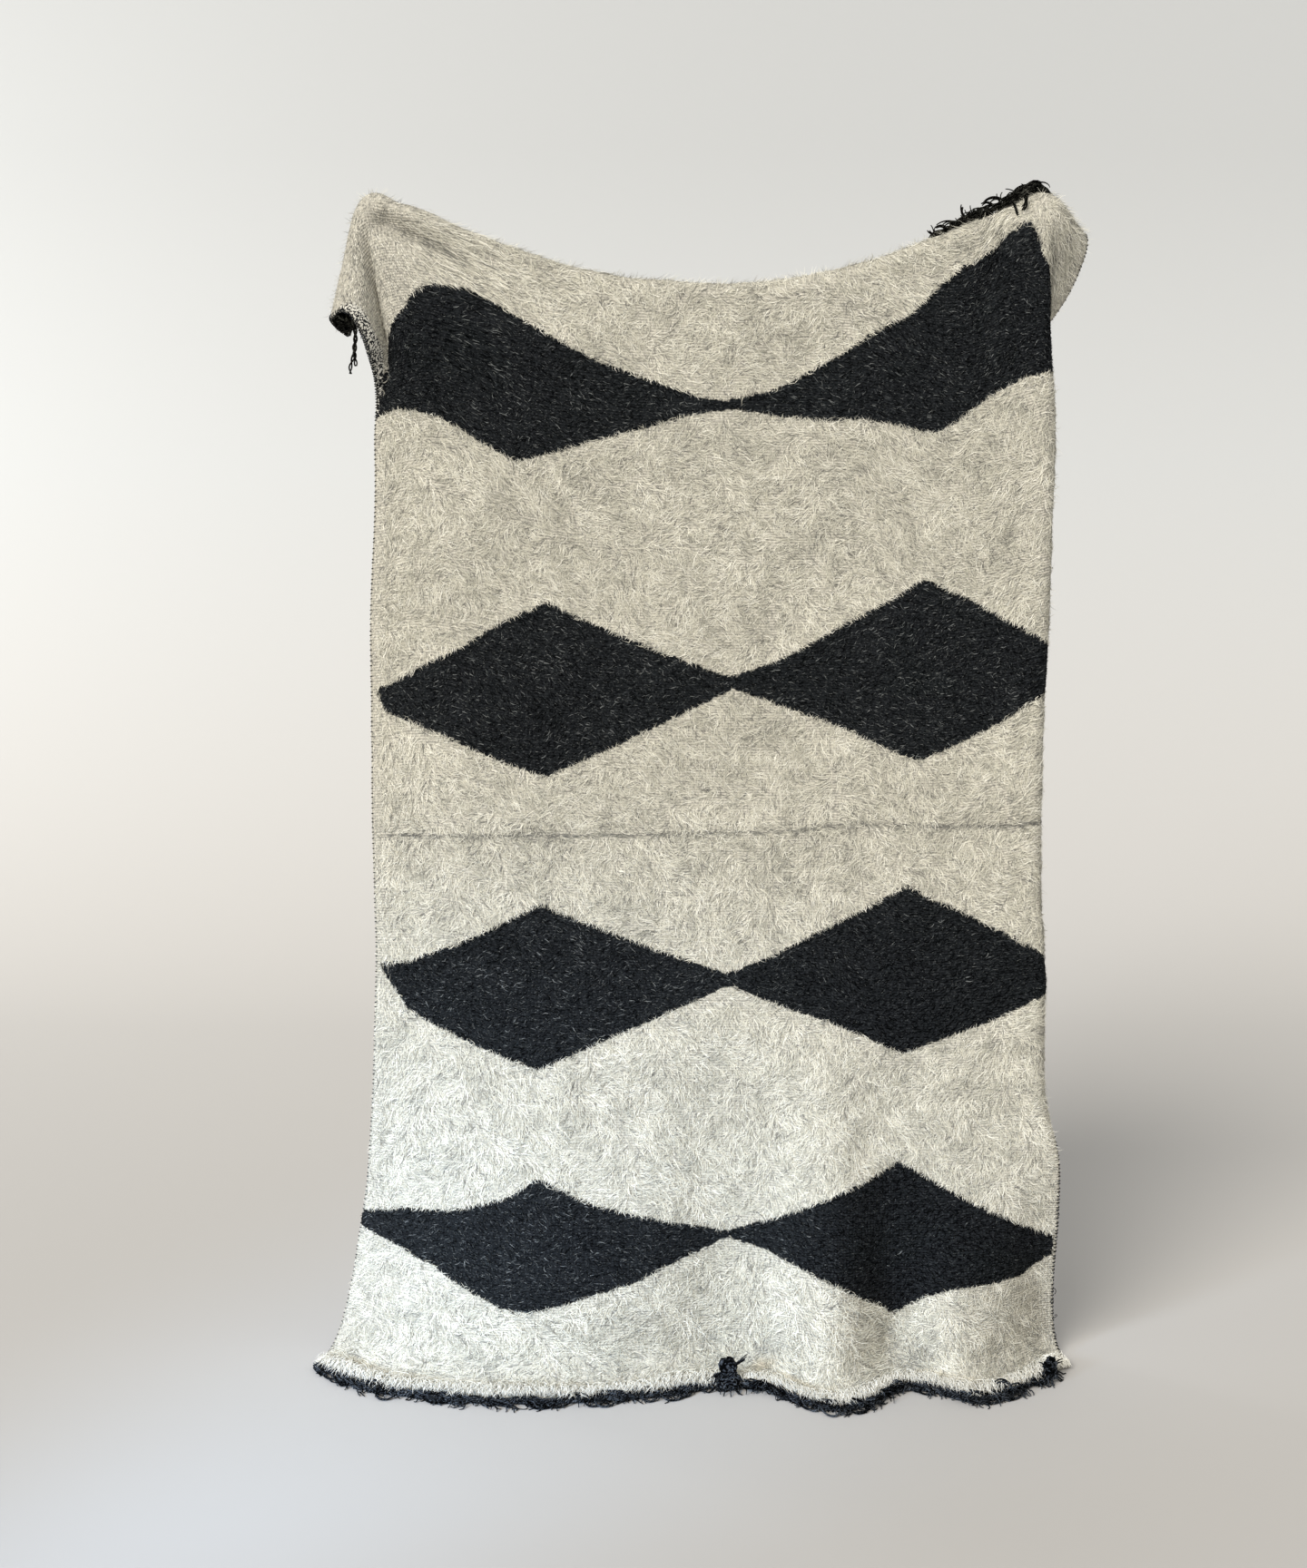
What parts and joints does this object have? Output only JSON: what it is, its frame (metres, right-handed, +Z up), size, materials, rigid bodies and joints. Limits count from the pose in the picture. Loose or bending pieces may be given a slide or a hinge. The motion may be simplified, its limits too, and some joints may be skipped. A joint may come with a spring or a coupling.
{
  "type": "blanket",
  "caption": "Hanging woven wool blanket, cream pile with rows of charcoal diamonds, plaited hems, its foot trailing on the floor.",
  "frame": {"origin": "crest of the sagging top edge, at the middle of the cloth's width", "axes": "+Z up, +X to the right seen from the front, -Y toward the viewer, the side the pile faces"},
  "size_m": [1.3342, 0.3214, 2.049],
  "materials": {
    "cream_wool": "brushed woven wool, cream flecked with grey, with charcoal diamonds",
    "charcoal_wool": "matt twisted wool yarn, near black"
  },
  "bodies": {
    "root": {"blanket_cloth": "cream_wool", "bottom_plait_left": "charcoal_wool", "bottom_plait_right": "charcoal_wool", "centre_knot": "charcoal_wool", "end_knot": "charcoal_wool", "top_plait_behind": "charcoal_wool", "top_plait_right": "charcoal_wool"}
  },
  "joints": []
}
